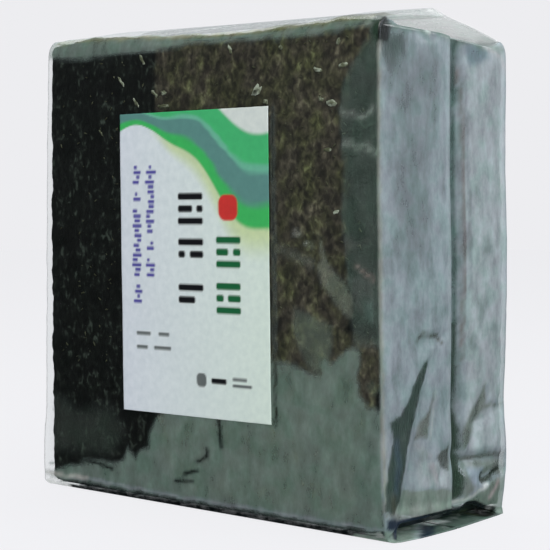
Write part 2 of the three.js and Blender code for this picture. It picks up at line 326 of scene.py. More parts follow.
def side_point(side, y, stage, t):
    face = FRONT if y < GUSSET_FLOOR else BACK
    arc = side_arc(y)
    away = smoothstep(0, CORNER_RUN, arc)
    turn = t * math.pi / 2
    if stage in ("body", "shoulder"):
        shoulder = shoulder_height(y)
        if stage == "body":
            z = lerp(BASE_ROUNDING, shoulder - SHOULDER_ROUNDING, t)
            lifted = (along_line(BASE_LIP, y) - BASE_ROUNDING) * away
            z += lifted * (1 - smoothstep(BASE_ROUNDING, LIP_REACH, z))
            depth = HALF_DEPTH
        else:
            depth, _ = profile(stage, t, face, 0)
            rise = SHOULDER_ROUNDING * (1 - math.sin(turn))
            z = shoulder - rise + (along_line(TOP_LIP, y) - shoulder) * away * t
        wall = half_width(side, y, z)
        sunk = (wall - side_surface(side, y, z)) * (1 if stage == "body" else 1 - SHOULDER_EASE * t)
        return side * (wall - sunk), y * depth / HALF_DEPTH, z
    depth, z = profile(stage, t, face, side * HALF_WIDTH)
    tuck = HALF_DEPTH - depth
    held = min(arc / tuck, 1) if tuck > 0 else 1
    flat = max(HALF_DEPTH - max(arc, tuck), 0) * face
    settled = smoothstep(*SETTLING, arc - tuck)
    if stage == "roof":
        x = half_width(side, flat, z) - min(arc, tuck)
        floor = gable_height(flat, tuck)
        if arc < tuck:
            return side * x, face * (depth - PLY * 0.5), lerp(z - PLY, floor, held ** 4)
        return side * x, flat, lerp(z - PLY, floor, settled)
    lip = along_line(BASE_LIP, y)
    flap = along_line(FLAP_EDGE[side], face * depth)
    wall = half_width(side, y if stage == "foot" else flat, lip)
    if stage == "foot":
        low = lerp(z, z + (lip - BASE_ROUNDING), away)
        x = lerp(lerp(flap, wall - tuck, away), wall, math.sin(turn))
        return side * x, y * depth / HALF_DEPTH, low
    under = tucked_height(lip, tuck - BASE_ROUNDING)
    if arc < tuck:
        x = lerp(flap - arc, wall - tuck, held ** 2)
        return side * x, face * (depth - PLY * 0.5), lerp(FILM_LIFT + PLY, under, held ** 5)
    return side * (wall - tuck), flat, lerp(FILM_LIFT + PLY, under, settled)


def film_point(station, stage, t):
    kind, which, place = station
    if kind == "panel":
        return panel_point(which, place, stage, t)
    if side_arc(place) < SAME_PLACE:
        return panel_point(FRONT if place < 0 else BACK, which, stage, t)
    return side_point(which, place, stage, t)


# ---------------------------------------------------------------- haze of the film, and the sheen, highlights and shade painted into it

def patch(edge, code, amount, *outline):
    """A wash inside a closed outline, whose edge is that soft. It turns the film's haze, and the sheen,
    highlights and shade painted into it, to a hex and an amount, from 0 for clear to 1 for opaque."""
    return "patch", outline, edge, code, amount


def stroke(spread, code, amount, *line):
    """A wash along an open line, with that half width."""
    return "stroke", line, spread, code, amount


# Washes in the order in which they are laid, as (x, z) on the front and the back and (y, z) on a side
FRONT_WASHES = (
    # the milky foot, and the band under the crest
    patch(1.6, "#9CB5A9", 0.57, (-101, 7), (-87, 11), (-72, 14), (-66, 16), (-59, 15), (-51, 17), (-48, 24),
          (-43, 19), (-39, 23), (-34, 25), (-33, 32), (-27, 40), (-18, 50), (18, 70), (43, 70), (53, 69),
          (59, 67), (65, 65), (68, 66), (65, 73), (70, 74), (74, 71), (79, 74), (84, 78), (88, 77), (89, 73),
          (87, 66), (88, 59), (93, 54), (101, 53), (101, 5), (-101, 4)),
    patch(5.0, "#93A69A", 0.13, (-100, 18), (-60, 20), (-50, 30), (-60, 42), (-80, 37), (-100, 44)),
    # a painted reflection of the light above on the film's rounded top edge
    patch(1.6, "#A2B8AD", 0.56, (-101, 203), (-96, 203), (-79, 202), (-57, 203), (-35, 203), (-24, 204),
          (-3, 206), (15, 205), (37, 205), (65, 205.5), (78, 207), (92, 208), (101, 209), (101, 220),
          (-101, 220)),
    # pools and creases right of the label
    stroke(1.8, "#8E968C", 0.3, (44.7, 117.5), (53, 115), (63.3, 111.5)),
    patch(0.9, "#A3AE9C", 0.42, (67, 122.7), (68.6, 114.6), (65.4, 109.7), (68.6, 103.3), (77.1, 93.9),
          (83.3, 89.4), (87.4, 90.4), (84.3, 98.3), (79.1, 105.3), (71.8, 111.5), (69.6, 117.9)),
    patch(1.6, "#8FA392", 0.34, (53.5, 92.8), (64.4, 89.2), (73.9, 85.7), (73.9, 75.1), (67.6, 69.8),
          (68.7, 65.8), (63.3, 66.2), (56.8, 76.5), (52.5, 85.3)),
    stroke(1.4, "#C9CCC0", 0.44, (54, 124.5), (56.5, 123.8)),
    stroke(0.8, "#C9CCC0", 0.44, (60, 119.6), (63.3, 118.6)),
    # a painted shadow along the label's right edge, over the dark gap beside it
    stroke(0.8, "#0D100E", 0.7, (41.4, 176), (42.6, 110), (43.4, 43)),
    # down the right edge
    patch(1.2, "#7C9085", 0.36, (101, 207), (91, 201), (85, 193), (81, 189), (79, 182), (78, 174), (79, 161),
          (80, 149), (79, 133), (82, 110), (85, 92), (85, 79), (101, 79)),
    patch(1.2, "#8C9B92", 0.42, (81.2, 107), (95.5, 105.9), (96.1, 88.5), (91.5, 88.2), (87.4, 94.4)),
    patch(1.0, "#93ABA2", 0.52, (89.9, 96.9), (95.5, 98), (95.1, 88.4), (91, 89.8)),
    stroke(1.0, "#B9AFA6", 0.46, (86.3, 111.2), (95.5, 106.7)),
    patch(1.2, "#7F9A88", 0.16, (95, 66), (91, 63), (96, 59), (99, 62)),
    stroke(1.3, "#C3D0C6", 0.42, (78, 174), (80.5, 172.6), (84.5, 172), (89, 170.6), (92, 172), (95, 174.5)),
    stroke(1.5, "#C3D0C6", 0.46, (80, 161), (84, 160.4), (85.2, 158.4), (88, 159), (91, 159.6), (93, 158.3),
           (97, 156.5)),
    stroke(1.1, "#B4C2B8", 0.22, (81, 121), (86, 119.5), (92, 121)),
    # dark nicks below the label, and the light and dark lines along the base
    stroke(1.5, "#0E1416", 0.94, (10.5, 43), (10.6, 36), (11.6, 30)),
    stroke(1.1, "#0E1416", 0.86, (3.3, 28), (3.2, 24.3), (-3.6, 22)),
    stroke(1.2, "#0E1416", 0.9, (-11.5, 15.5), (-2.6, 18)),
    stroke(1.1, "#0E1416", 0.84, (-16.5, 11.8), (-6.6, 12.6)),
    stroke(1.1, "#0E1416", 0.8, (-78, 14.6), (-68, 14.2), (-58, 12.6)),
    # a painted highlight along the base, warmer at the left
    stroke(0.9, "#BCCAD0", 0.62, (-93, 5.2), (-72, 6), (-49, 5.6), (-18, 4.9), (12, 4.9), (40, 5.4),
           (72, 5.0), (101, 5.4)),
    stroke(1.3, "#D2D6CE", 0.8, (-104, 6), (-92, 5.6), (-76, 6.4)),
    # painted shade in the dark band on the rounded foot
    stroke(1.4, "#10181B", 0.85, (-80, 3.0), (-40, 2.6), (30, 2.4), (84, 2.4), (96, 2.2)),
    # the crest
    stroke(0.9, "#BDC096", 0.42, (-97, 210.3), (-80, 211), (-66, 210.9), (-54, 210.1), (-41, 210.5),
           (-28, 209.3), (9, 208.7), (20, 208.5), (30, 209)),
    stroke(1.5, "#8E9362", 0.5, (30, 209), (50, 209.9), (65, 210.6), (76, 211.6), (92, 211.4)),
    patch(0.8, "#3E5446", 0.74, (93, 213), (93.6, 204), (96, 200), (103, 199), (103, 216), (94, 215)),
)
BACK_WASHES = (
    patch(2.4, "#93A698", 0.2, (-101, 60), (-80, 52), (-62, 66), (-30, 38), (5, 44), (38, 28), (70, 36),
          (101, 24), (101, 5), (-101, 5)),
    patch(1.8, "#93A5A5", 0.32, (-101, 197), (-60, 195), (0, 197), (60, 195), (101, 198), (101, 214),
          (-101, 214)),
    # a painted highlight along the base
    stroke(0.9, "#B7C2C3", 0.5, (-101, 5.4), (0, 5), (101, 5.4)),
    # the side film's haze and painted sheen, carried onto the back's upright edge
    patch(1.6, "#AAB8BC", 0.7, (94, 0), (110, 0), (110, 206), (94, 206)),
)
RIGHT_WASHES = (
    # fields of haze and painted sheen from the top down, and the top edge
    patch(2.0, "#C2CED0", 0.67, (14, 206), (44, 203), (44, 30), (14, 30)),
    patch(6.0, "#A6B4B8", 0.52, (-36, 192), (-22, 201), (-6, 196), (-10, 165), (-14, 120), (-28, 105),
          (-34, 140)),
    patch(2.0, "#9DB4BD", 0.54, (13, 205), (25, 204), (29, 198), (16, 194)),
    patch(4.0, "#7E938F", 0.4, (-40, 205), (-28, 206), (-28, 197), (-35, 189), (-43, 197)),
    stroke(1.6, "#72867E", 0.74, (-38, 207.9), (-1, 206.4)),
    stroke(1.6, "#8FA29A", 0.7, (-1, 206.4), (6, 205), (25, 202.8), (43, 201.4)),
    patch(0.9, "#0A120C", 0.88, (-48, 216), (-37.4, 215), (-36.4, 206), (-38.6, 200), (-48, 198)),
    patch(0.7, "#84948A", 0.9, (-45, 0), (-43.4, 4.6), (-38, 4.4), (-36, 0)),
    stroke(1.4, "#E3E9E4", 0.84, (-13.6, 207.2), (-11.6, 206)),
    stroke(1.0, "#C3CFD3", 0.66, (-20, 203.6), (-12, 201.4), (-6, 203.4)),
    # the upright edges and the gusset
    stroke(1.4, "#B5BAAF", 0.62, (-43.4, 199), (-43.2, 139), (-42.8, 60), (-42, 13)),
    stroke(1.5, "#A7B3B6", 0.8, (42.8, 200), (42.8, 110), (42.8, 24)),
    stroke(1.1, "#AAB7B8", 0.6, (3.2, 203), (2.9, 174), (2.6, 139), (2.3, 79), (2.5, 46), (2.2, 22),
           (5.4, 9)),
    # painted shade in the gusset's groove: the film is clearer there, so the dark sheets show
    stroke(1.2, "#718A84", 0.5, (9.7, 205), (9.6, 196), (9.5, 184)),
    stroke(1.1, "#78948E", 0.5, (9.5, 184), (9.3, 139), (9.2, 84)),
    stroke(1.7, "#587264", 0.42, (9.2, 84), (8.8, 46), (9.4, 30)),
    patch(0.9, "#5F7A68", 0.36, (6, 47), (10.2, 46), (11.1, 28), (12.8, 19), (12.3, 12.7), (10.4, 9),
          (7.8, 10), (5.6, 17), (5, 27)),
    stroke(0.8, "#A8A7A5", 0.52, (10.7, 192), (11.8, 184), (12.9, 168), (13.2, 145), (12.9, 110), (12.4, 70)),
    stroke(0.8, "#7E8880", 0.46, (-21, 80.4), (-18.4, 82), (-13, 82.6), (-8.6, 81.5), (-3, 78.5)),
    stroke(0.6, "#B4C2C6", 0.6, (11.0, 186), (11.4, 150), (11.2, 110), (11.2, 60)),
    stroke(1.0, "#B7C2C6", 0.52, (14, 190), (15.4, 163), (16.4, 139), (16, 100)),
    # the long dark fold down to the front corner: painted shade, with less sheen where the fold faces away
    # from the bright room
    patch(0.8, "#5E756B", 0.38, (-15, 72), (-13.8, 69), (-19.8, 57), (-25, 43), (-28, 34), (-31.2, 22),
          (-33, 13), (-37.6, 9.6), (-42.4, 13), (-42, 21), (-39.8, 29), (-36.6, 41), (-38.2, 48.5),
          (-31.6, 50), (-26.2, 57), (-21.4, 66)),
    stroke(1.6, "#6F8A94", 0.36, (-35, 40), (-33.6, 31), (-35.6, 20)),
    stroke(2.0, "#74806C", 0.4, (-38, 17), (-36.6, 12)),
    stroke(0.9, "#B7C6CA", 0.62, (-13.2, 69), (-19.4, 56.5), (-24.4, 43), (-27.4, 34), (-30.6, 22),
           (-32.4, 13)),
    # small creases between the fold and the gusset, and the film above the base
    patch(1.0, "#8D968E", 0.5, (-10, 58), (-11.2, 49), (-14.4, 39.6), (-21, 39.4), (-19, 45), (-13, 50)),
    stroke(0.8, "#CBD3D4", 0.6, (-8.6, 58), (-9.6, 49), (-12.6, 39)),
    patch(0.8, "#7D8681", 0.5, (2, 33.6), (-3.5, 33.6), (-8.4, 31), (-6.4, 27), (-1, 23.6), (2, 23.8)),
    # a painted highlight on a lit triangle of the crumpled film
    patch(1.0, "#C0C8CB", 0.6, (-21, 39), (-10.6, 31), (-18.5, 29.5)),
    patch(1.0, "#C3CED0", 0.68, (-20.6, 30.1), (-8, 28.6), (-4.5, 26), (3.2, 23.5), (3.2, 16.6),
          (-20.5, 20.1)),
    # a painted highlight on a pinkish facet
    stroke(2.2, "#CFC8CE", 0.66, (-12, 27), (-9, 22.4)),
    patch(0.9, "#9FAFA3", 0.6, (-31, 19.6), (4, 16.2), (7, 7), (-16, 6), (-38, 8)),
    stroke(1.8, "#B1BFB3", 0.7, (-34, 11.6), (-15, 10.6), (3, 9.6)),
    # a dim painted highlight along the lip
    stroke(0.7, "#A9AFAB", 0.6, (-42, 10.6), (-36, 9.9), (-30, 8.8), (-15.7, 7.5), (7.2, 7.4)),
    # painted shade at the edge of the mouth under the lip
    patch(0.6, "#223040", 0.93, (-42.6, 4.8), (-42.4, 9.4), (-36, 8.9), (-30, 8), (-28, 7.4), (-34, 5),
          (-40, 4.4)),
    # the forked crease behind the gusset
    patch(1.4, "#94A298", 0.54, (28, 59), (30.4, 55), (27, 48), (21, 41), (17, 34), (12, 31), (12.2, 38),
          (17, 47), (23.6, 53)),
    stroke(1.3, "#94A298", 0.52, (24, 48), (30, 49.2), (42, 48.6)),
    stroke(1.0, "#BCCBD1", 0.58, (29.5, 58), (29, 51), (43, 49.2)),
    # the folded film over the back of the base
    stroke(1.2, "#B9C6CA", 0.58, (11, 30.4), (25, 30), (43, 28.8)),
    stroke(1.2, "#8A968E", 0.48, (12, 27.4), (25, 27.4), (42.5, 26.6)),
    patch(1.4, "#9DACA2", 0.5, (12.6, 26), (24, 25.6), (45, 24.6), (45, 16), (31, 20), (24, 19), (16, 12),
          (12.6, 9)),
    patch(1.6, "#B4C4D0", 0.62, (14.8, 23.6), (24.7, 22.3), (24.8, 15), (18, 15.6), (15.5, 20)),
    patch(0.9, "#8B9D90", 0.62, (8.4, 7.6), (17.5, 10.4), (26.8, 13), (32, 16), (45, 17), (45, 0), (36, 0),
          (28, 5)),
    stroke(1.1, "#4E6350", 0.24, (23.4, 19.6), (26.1, 16.8), (31.5, 17.4), (36, 20.4), (45, 21)),
    # painted highlights: a pinkish diagonal one, a small pale one, and one along the lip's edge
    stroke(1.4, "#C3BBB6", 0.68, (30.5, 8.4), (37.4, 14.6)),
    stroke(0.9, "#DDE6E2", 0.8, (26.4, 14.9), (28.8, 14.8)),
    stroke(0.8, "#C9D0CA", 0.76, (8.4, 8.6), (17.5, 11.2), (26.8, 13.6)),
    stroke(0.9, "#C9CCCB", 0.74, (25.3, 203), (33.5, 200.6), (38.7, 198), (42, 194)),
)
LEFT_WASHES = (
    patch(2.4, "#DADFE0", 0.05, (-46, 214), (-36, 213), (-35, 100), (-34, 0), (-46, 0)),
    stroke(1.1, "#AAB7B8", 0.58, (3.2, 203), (2.7, 139), (2.4, 79), (2.5, 46), (2.3, 22), (5.4, 9)),
    # painted shade in the gusset's groove
    stroke(1.0, "#37504C", 0.05, (9.6, 203), (9.3, 139), (9.2, 79), (9.2, 46), (9.6, 16)),
    stroke(0.8, "#A7A4A0", 0.5, (11.4, 190), (13, 150), (12.6, 90)),
    # painted shade in the long fold
    patch(1.2, "#40514E", 0.09, (-14, 68), (-11.6, 64), (-18, 40), (-24, 12), (-31, 10), (-29, 26),
          (-22, 46)),
    stroke(1.1, "#C3CDCF", 0.62, (20, 88), (31, 50), (32, 14)),
    stroke(1.2, "#5E6E68", 0.2, (15, 80), (25, 48), (27, 14)),
    stroke(1.1, "#BDC9CC", 0.56, (-38, 36), (-18, 32), (0, 29.6)),
    # painted highlights along the lip and along its edge
    stroke(0.8, "#C3CDCB", 0.72, (-39.4, 9.4), (-15.7, 7.9), (7.2, 7.6)),
    stroke(0.9, "#D2D8D2", 0.7, (8.6, 8.2), (18.4, 12.2), (28.3, 15)),
)
WALL_WASHES = {
    ("panel", FRONT): FRONT_WASHES,
    ("panel", BACK): BACK_WASHES,
    ("side", RIGHT): RIGHT_WASHES,
    ("side", LEFT): LEFT_WASHES,
}

# The gable's film, as (y, z)
GABLE_WASHES = (
    stroke(4.4, "#A4B2AC", 0.78, (-38, 208.0), (-1, 206.6), (6, 205.4), (25, 203.4), (43, 202)),
    patch(0.9, "#1A241D", 0.88, (-48, 216), (-38, 213), (-36.6, 204), (-48, 204)),
)

# As (x, y): the roof, the flaps that lie on the table and the film tucked in above them
ROOF_WASHES = (
    patch(2.6, "#5F634A", 0.72, (26, -46), (60, -46), (100, -46), (100, -31), (60, -33), (30, -38)),
)
PALE_CORNER = patch(2.0, "#DDDDD6", 0.3, (-110, -50), (-88, -50), (-92, 50), (-110, 50))
BACK_CORNER = patch(0.8, "#8B9D90", 0.8, (92, 37.4), (106, 37.4), (106, 48), (92, 48))
FLAP_WASHES = (
    PALE_CORNER,
    patch(0.8, "#64796E", 0.9, (90, -6), (104, -14), (110, -27), (110, 36), (84, 36), (84, 0)),
    patch(0.8, "#93A498", 0.9, (84, -46), (110, -46), (110, -33), (107, -29.5), (98.7, -17.8), (88.7, -4.2),
          (84, -2)),
    patch(0.8, "#33444F", 0.93, (88, -3), (96.3, -4), (99.4, -6.5), (105.7, -15.5), (110, -27), (107, -29.5)),
    patch(0.8, "#F0F6F2", 0.95, (84, -2), (84, 6), (89, 8), (93.2, 10.2), (95.7, 7.3), (95.8, -3),
          (90.7, -4.9)),
    stroke(1.2, "#BCCBCA", 0.92, (88.7, -4.2), (98.7, -17.8), (107, -29.5)),
    # painted shadow in the pocket under the lip
    patch(0.8, "#14180F", 0.95, (86, 40), (95, 28), (101.5, 27), (102.4, 33), (99, 38), (86, 46)),
    stroke(0.9, "#7E8C6C", 0.9, (88, 26), (91, 27.4), (95.3, 28)),
    BACK_CORNER,
)
TUCK_WASHES = (
    PALE_CORNER,
    # painted shade in the mouth under the lip
    patch(0.8, "#223040", 0.93, (86, -37.4), (104, -37.4), (104, -14), (86, -8)),
    patch(0.8, "#84948A", 0.9, (86, -48), (110, -48), (110, -38.2), (86, -38.2)),
    # a painted highlight in front of the dark pocket
    stroke(1.0, "#9AA884", 0.92, (94.4, 14.4), (93.8, 18), (93.4, 24)),
    # painted shadow in the pocket under the lip
    patch(0.8, "#14180F", 0.95, (90, 27), (99, 29), (99, 37.6), (90, 38)),
    BACK_CORNER,
)
FLAP_THICKNESS = 1.2  # film lower than this lies on the table

# The haze where no wash lies, as (hex, amount): on the walls, and by stage in the base and the roof
PLAIN_HAZE_AND_PAINTED_LIGHT = {
    ("panel", FRONT): ("#8FA09C", 0.02),
    ("panel", BACK): ("#8FA09C", 0.02),
    # on the sides, partly the film's haze and partly painted sheen: the bright room reflected on the right
    ("side", RIGHT): ("#BAC9CE", 0.58),
    ("side", LEFT): ("#BAC9CE", 0.54),
    ("roof", "panel"): ("#E6E8E4", 0.1),
    ("roof", "side"): ("#DDDEDA", 0.32),
    # painted shade: the dark rounded foot and the base tucked under the pack, in shadow
    ("foot", "panel"): ("#0E1517", 0.9),
    ("foot", "side"): ("#1A2426", 0.8),
    ("base", "panel"): ("#1E2829", 0.8),
    ("base", "side"): ("#2C3B40", 0.93),
}


def distance_to_line(points, u, v):
    best = math.inf
    for (u0, v0), (u1, v1) in zip(points, points[1:]):
        run_u, run_v = u1 - u0, v1 - v0
        t = clamp(((u - u0) * run_u + (v - v0) * run_v) / (run_u ** 2 + run_v ** 2))
        best = min(best, math.hypot(u - u0 - run_u * t, v - v0 - run_v * t))
    return best


def is_inside(points, u, v):
    crossings = 0
    for (u0, v0), (u1, v1) in zip(points, points[1:] + points[:1]):
        if (v0 > v) != (v1 > v) and u < u0 + (v - v0) / (v1 - v0) * (u1 - u0):
            crossings += 1
    return crossings % 2 == 1


def share(kind, points, size, u, v):
    """How much of a wash lies at one place, from 0 to 1."""
    margin = 3 * size
    us, vs = [p[0] for p in points], [p[1] for p in points]
    if not (min(us) - margin < u < max(us) + margin and min(vs) - margin < v < max(vs) + margin):
        return 0.0
    if kind == "stroke":
        return math.exp(-((distance_to_line(points, u, v) / size) ** 2))
    inward = distance_to_line(points + points[:1], u, v) * (1 if is_inside(points, u, v) else -1)
    return smoothstep(-size, size, inward)


def waver(place, broad_seed, fine_seed):
    """How far a wash's edge strays at one place, in millimetres."""
    return 0.9 * crinkle(place, 5, broad_seed) + 0.4 * crinkle(place, 2.2, fine_seed)


def film_haze_and_painted_light(station, stage, place):
    """The film's haze at one place, with the sheen, highlights and shade painted into it: its colour and, as
    the last value, how much of it there is.
    """
    x, y, z = place
    kind, which = station[:2]
    if stage in ("body", "shoulder"):
        washes, plain = WALL_WASHES[kind, which], PLAIN_HAZE_AND_PAINTED_LIGHT[kind, which]
        u, v = (y, z) if kind == "side" else (x, z)
    else:
        plain = PLAIN_HAZE_AND_PAINTED_LIGHT[stage, kind]
        if stage == "roof":
            washes, u, v = (GABLE_WASHES, y, z) if kind == "side" else (ROOF_WASHES, x, y)
        else:
            washes, u, v = FLAP_WASHES if z < FLAP_THICKNESS else TUCK_WASHES, x, y
    u += waver(place, 3.3, 5.5)
    v += waver(place, 8.8, 1.9)
    haze_and_painted_light = list(colour(plain[0])[:3]) + [plain[1]]
    for kind, points, size, code, amount in washes:
        part = share(kind, points, size, u, v)
        if part > 0.001:
            haze_and_painted_light = [lerp(old, new, part) for old, new in zip(haze_and_painted_light, colour(code)[:3] + (amount,))]
    return haze_and_painted_light


def finish_mesh(name, bm, material, smooth=True):
    """Turns a bmesh in millimetres into a piece in metres, lying at its place."""
    bmesh.ops.transform(bm, matrix=Matrix.Scale(MM, 4), verts=bm.verts)
    mesh = bpy.data.meshes.new(name)
    bm.to_mesh(mesh)
    bm.free()
    mesh.materials.append(material)
    for face in mesh.polygons:
        face.use_smooth = smooth
    piece = bpy.data.objects.new(name, mesh)
    bpy.context.scene.collection.objects.link(piece)
    return piece


def thicken(bm, faces, along_y):
    """Gives a sheet its thickness: its faces are extruded that far along Y."""
    slab = bmesh.ops.extrude_face_region(bm, geom=faces)
    raised = [item for item in slab["geom"] if isinstance(item, bmesh.types.BMVert)]
    bmesh.ops.translate(bm, verts=raised, vec=(0, along_y, 0))


def film_bag(material):
    """The bag's film: one sheet wrapped round into a tube, gathered to a seam at the base and the ridge."""
    ring, rings = stations(), levels()
    bm = bmesh.new()
    haze_and_painted_light = bm.verts.layers.float_color.new("haze_and_painted_light")
    bmesh.ops.create_grid(bm, x_segments=len(ring) - 1, y_segments=len(rings) - 1, size=0.5)
    for vert in bm.verts:
        station = ring[round((vert.co.x + 0.5) * (len(ring) - 1))]
        stage, t = rings[round((vert.co.y + 0.5) * (len(rings) - 1))]
        vert.co = film_point(station, stage, t)
        vert[haze_and_painted_light] = film_haze_and_painted_light(station, stage, vert.co)
    bmesh.ops.remove_doubles(bm, verts=bm.verts, dist=SAME_PLACE)
    bmesh.ops.holes_fill(bm, edges=[edge for edge in bm.edges if edge.is_boundary], sides=0)
    bmesh.ops.recalc_face_normals(bm, faces=bm.faces)
    return finish_mesh("bag_film", bm, material)


# ---------------------------------------------------------------- nori

# Where the first sheet is brown rather than black, as (x, z)
OLIVE_FIELD = ((-40, 214), (-33, 205), (-27, 198), (-31, 188), (-29, 180), (-24, 165), (-20, 120), (-24, 60),
               (-28, 38), (-28, 20), (-10, 8), (84, 8), (92, 50), (98, 60), (98, 80), (82, 84), (80, 140),
               (79, 180), (86, 194), (98, 204), (100, 214))
FOLLOWED = 0.6  # how much of the film's small waves the sheet behind it follows
RIM_POINTS = 232  # round one sheet of the block
FACED_COLUMNS, FACED_ROWS = 138, 150


def ceiling(y):
    """The film's height over the block at a depth y."""
    shoulder = FRONT_SHOULDER if y < 0 else BACK_SHOULDER
    past = abs(y) - (HALF_DEPTH - SHOULDER_REACH)
    if past > 0:
        return shoulder - SHOULDER_ROUNDING * (1 - math.sqrt(max(1 - (past / SHOULDER_REACH) ** 2, 0)))
    return lerp(RIDGE_TOP, shoulder, abs(y) / (HALF_DEPTH - SHOULDER_REACH))


def floor_height(y):
    """The film's height under the block at a depth y."""
    past = max(abs(y) - (HALF_DEPTH - BASE_ROUNDING), 0) / BASE_ROUNDING
    return FILM_LIFT + BASE_ROUNDING * (1 - math.sqrt(max(1 - past ** 2, 0)))


def keep_inside(x, y, z):
    """Draws a place on a sheet back inside the film: from the side's folds, the tucked base and gable."""
    side = RIGHT if x > 0 else LEFT
    wall = side_surface(side, y, z) - SHEET_INSET
    lip = along_line(BASE_LIP, y)
    turned_under = tucked_height(lip, max(half_width(side, y, lip) - abs(x) - BASE_ROUNDING, 0)) + FOLD_GAP
    tucked_in = gable_height(y, max(half_width(side, y, z) - abs(x), 0)) - FOLD_GAP
    return side * min(abs(x), wall), min(max(z, turned_under), tucked_in)


def add_sheet(bm, rng, y, pitch):
    """One sheet of the block at a depth y: a slab with ragged edges and loose corners."""
    left, right = BLOCK_LEFT + rng.uniform(-0.2, 1.6), BLOCK_RIGHT + rng.uniform(-1.6, 0.4)
    foot = floor_height(y) + rng.uniform(0.7, 1.3)
    head = min(shoulder_height(y) + rng.uniform(-1.6, 0.6), ceiling(y) - rng.uniform(1.0, 1.6))
    seed = rng.uniform(0, 500)
    made = bmesh.ops.create_circle(bm, cap_ends=True, radius=1, segments=RIM_POINTS)["verts"]
    for vert in made:
        turn = vert.co.to_2d()
        big = max(abs(turn.x), abs(turn.y))
        across, up = turn.x / big, turn.y / big
        x, z = lerp(left, right, (across + 1) / 2), lerp(foot, head, (up + 1) / 2)
        ragged = 0.75 * crinkle((x, 0, z), 7, seed) + 0.45 * crinkle((x, 0, z), 2.4, seed + 9)
        pull = 1 + (ragged - 0.35) / 100
        x += max(across, 0) * (half_width(RIGHT, y, z) - HALF_WIDTH)
        z += max(up, 0) ** 2 * along_line(FRONT_CREST, x) * smoothstep(-8, -34, y)
        wave = 0.5 * crinkle((x, y, z), 30, 11) + 0.16 * crinkle((x, 0, z), 9, seed)
        corner = smoothstep(0.86, 1.0, abs(across)) * smoothstep(0.86, 1.0, abs(up))
        pull -= corner * rng.uniform(0.0, 0.016)
        x, z = keep_inside(x * pull, y, (z - BLOCK_MIDDLE) * pull + BLOCK_MIDDLE)
        vert.co = (x, y + wave * pitch, z)
    thicken(bm, list(made[0].link_faces), SHEET_THICKNESS)


def nori_block(material):
    """The sheets between the first and the last."""
    rng = random.Random(7)
    bm = bmesh.new()
    pitch = 2 * BLOCK_HALF_DEPTH / SHEETS
    for index in range(1, SHEETS - 1):
        add_sheet(bm, rng, -BLOCK_HALF_DEPTH + (index + 0.5) * pitch, pitch)
    return finish_mesh("nori_sheets", bm, material, smooth=False)


def faced_swell(face, x, z):
    """How far the first or the last sheet bows out with the film in front of it."""
    return panel_swell(face, x, z) + panel_ripple(face, x, z) * FOLLOWED


def faced_sheet(name, face, material):
    """The first or the last sheet, whose whole face shows: a slab with the relief of pressed laver."""
    rng = random.Random(20 + face)
    bm = bmesh.new()
    bmesh.ops.create_grid(bm, x_segments=FACED_COLUMNS, y_segments=FACED_ROWS, size=0.5)
    olive = bm.verts.layers.float.new("olive")
    head = (FRONT_SHOULDER if face == FRONT else BACK_SHOULDER) - FACED_HEAD_GAP
    seed = rng.uniform(0, 500)
    for vert in bm.verts:
        across, up = vert.co.x * 2, vert.co.y * 2
        x, z = lerp(BLOCK_LEFT, BLOCK_RIGHT, (across + 1) / 2), lerp(FACED_FOOT, head, (up + 1) / 2)
        x += max(across, 0) * (half_width(RIGHT, face * HALF_DEPTH, z) - HALF_WIDTH)
        z += max(up, 0) ** 2 * crest(x, face)
        rim = smoothstep(0.94, 1.0, max(abs(across), abs(up)))
        ragged = 1.0 * crinkle((x, 0, z), 8, seed) + 0.6 * crinkle((x, 0, z), 2.6, seed + 9)
        pull = 1 + rim * (ragged - 0.3) / 100
        relief = 0.22 * crinkle((x, 0, z), 3.2, seed + 2) + 0.30 * crinkle((x, 0, z), 11, seed + 4)
        swell = faced_swell(face, x, z) - rim * 0.6
        curl = 3.6 * smoothstep(0.94, 1.0, up) ** 2 + 1.0 * smoothstep(-0.98, -1.0, up)
        y = face * (HALF_DEPTH - SHEET_INSET + swell + relief - curl)
        x, z = keep_inside(x * pull, y, (z - BLOCK_MIDDLE) * pull + BLOCK_MIDDLE)
        vert.co = (x, y, z)
        torn = 4 * crinkle((x * 1.8, 0, z * 0.7), 6, 1.1)
        if face == FRONT:
            brown = share("patch", OLIVE_FIELD, 2.0, x + torn, z)
        else:
            brown = smoothstep(-0.3, 0.3, crinkle((x + torn, 0, z * 0.6), 58, 4.4))
        vert[olive] = 0.03 + 0.97 * brown
    thicken(bm, bm.faces[:], -face * SHEET_THICKNESS)
    bmesh.ops.recalc_face_normals(bm, faces=bm.faces)
    return finish_mesh(name, bm, material)


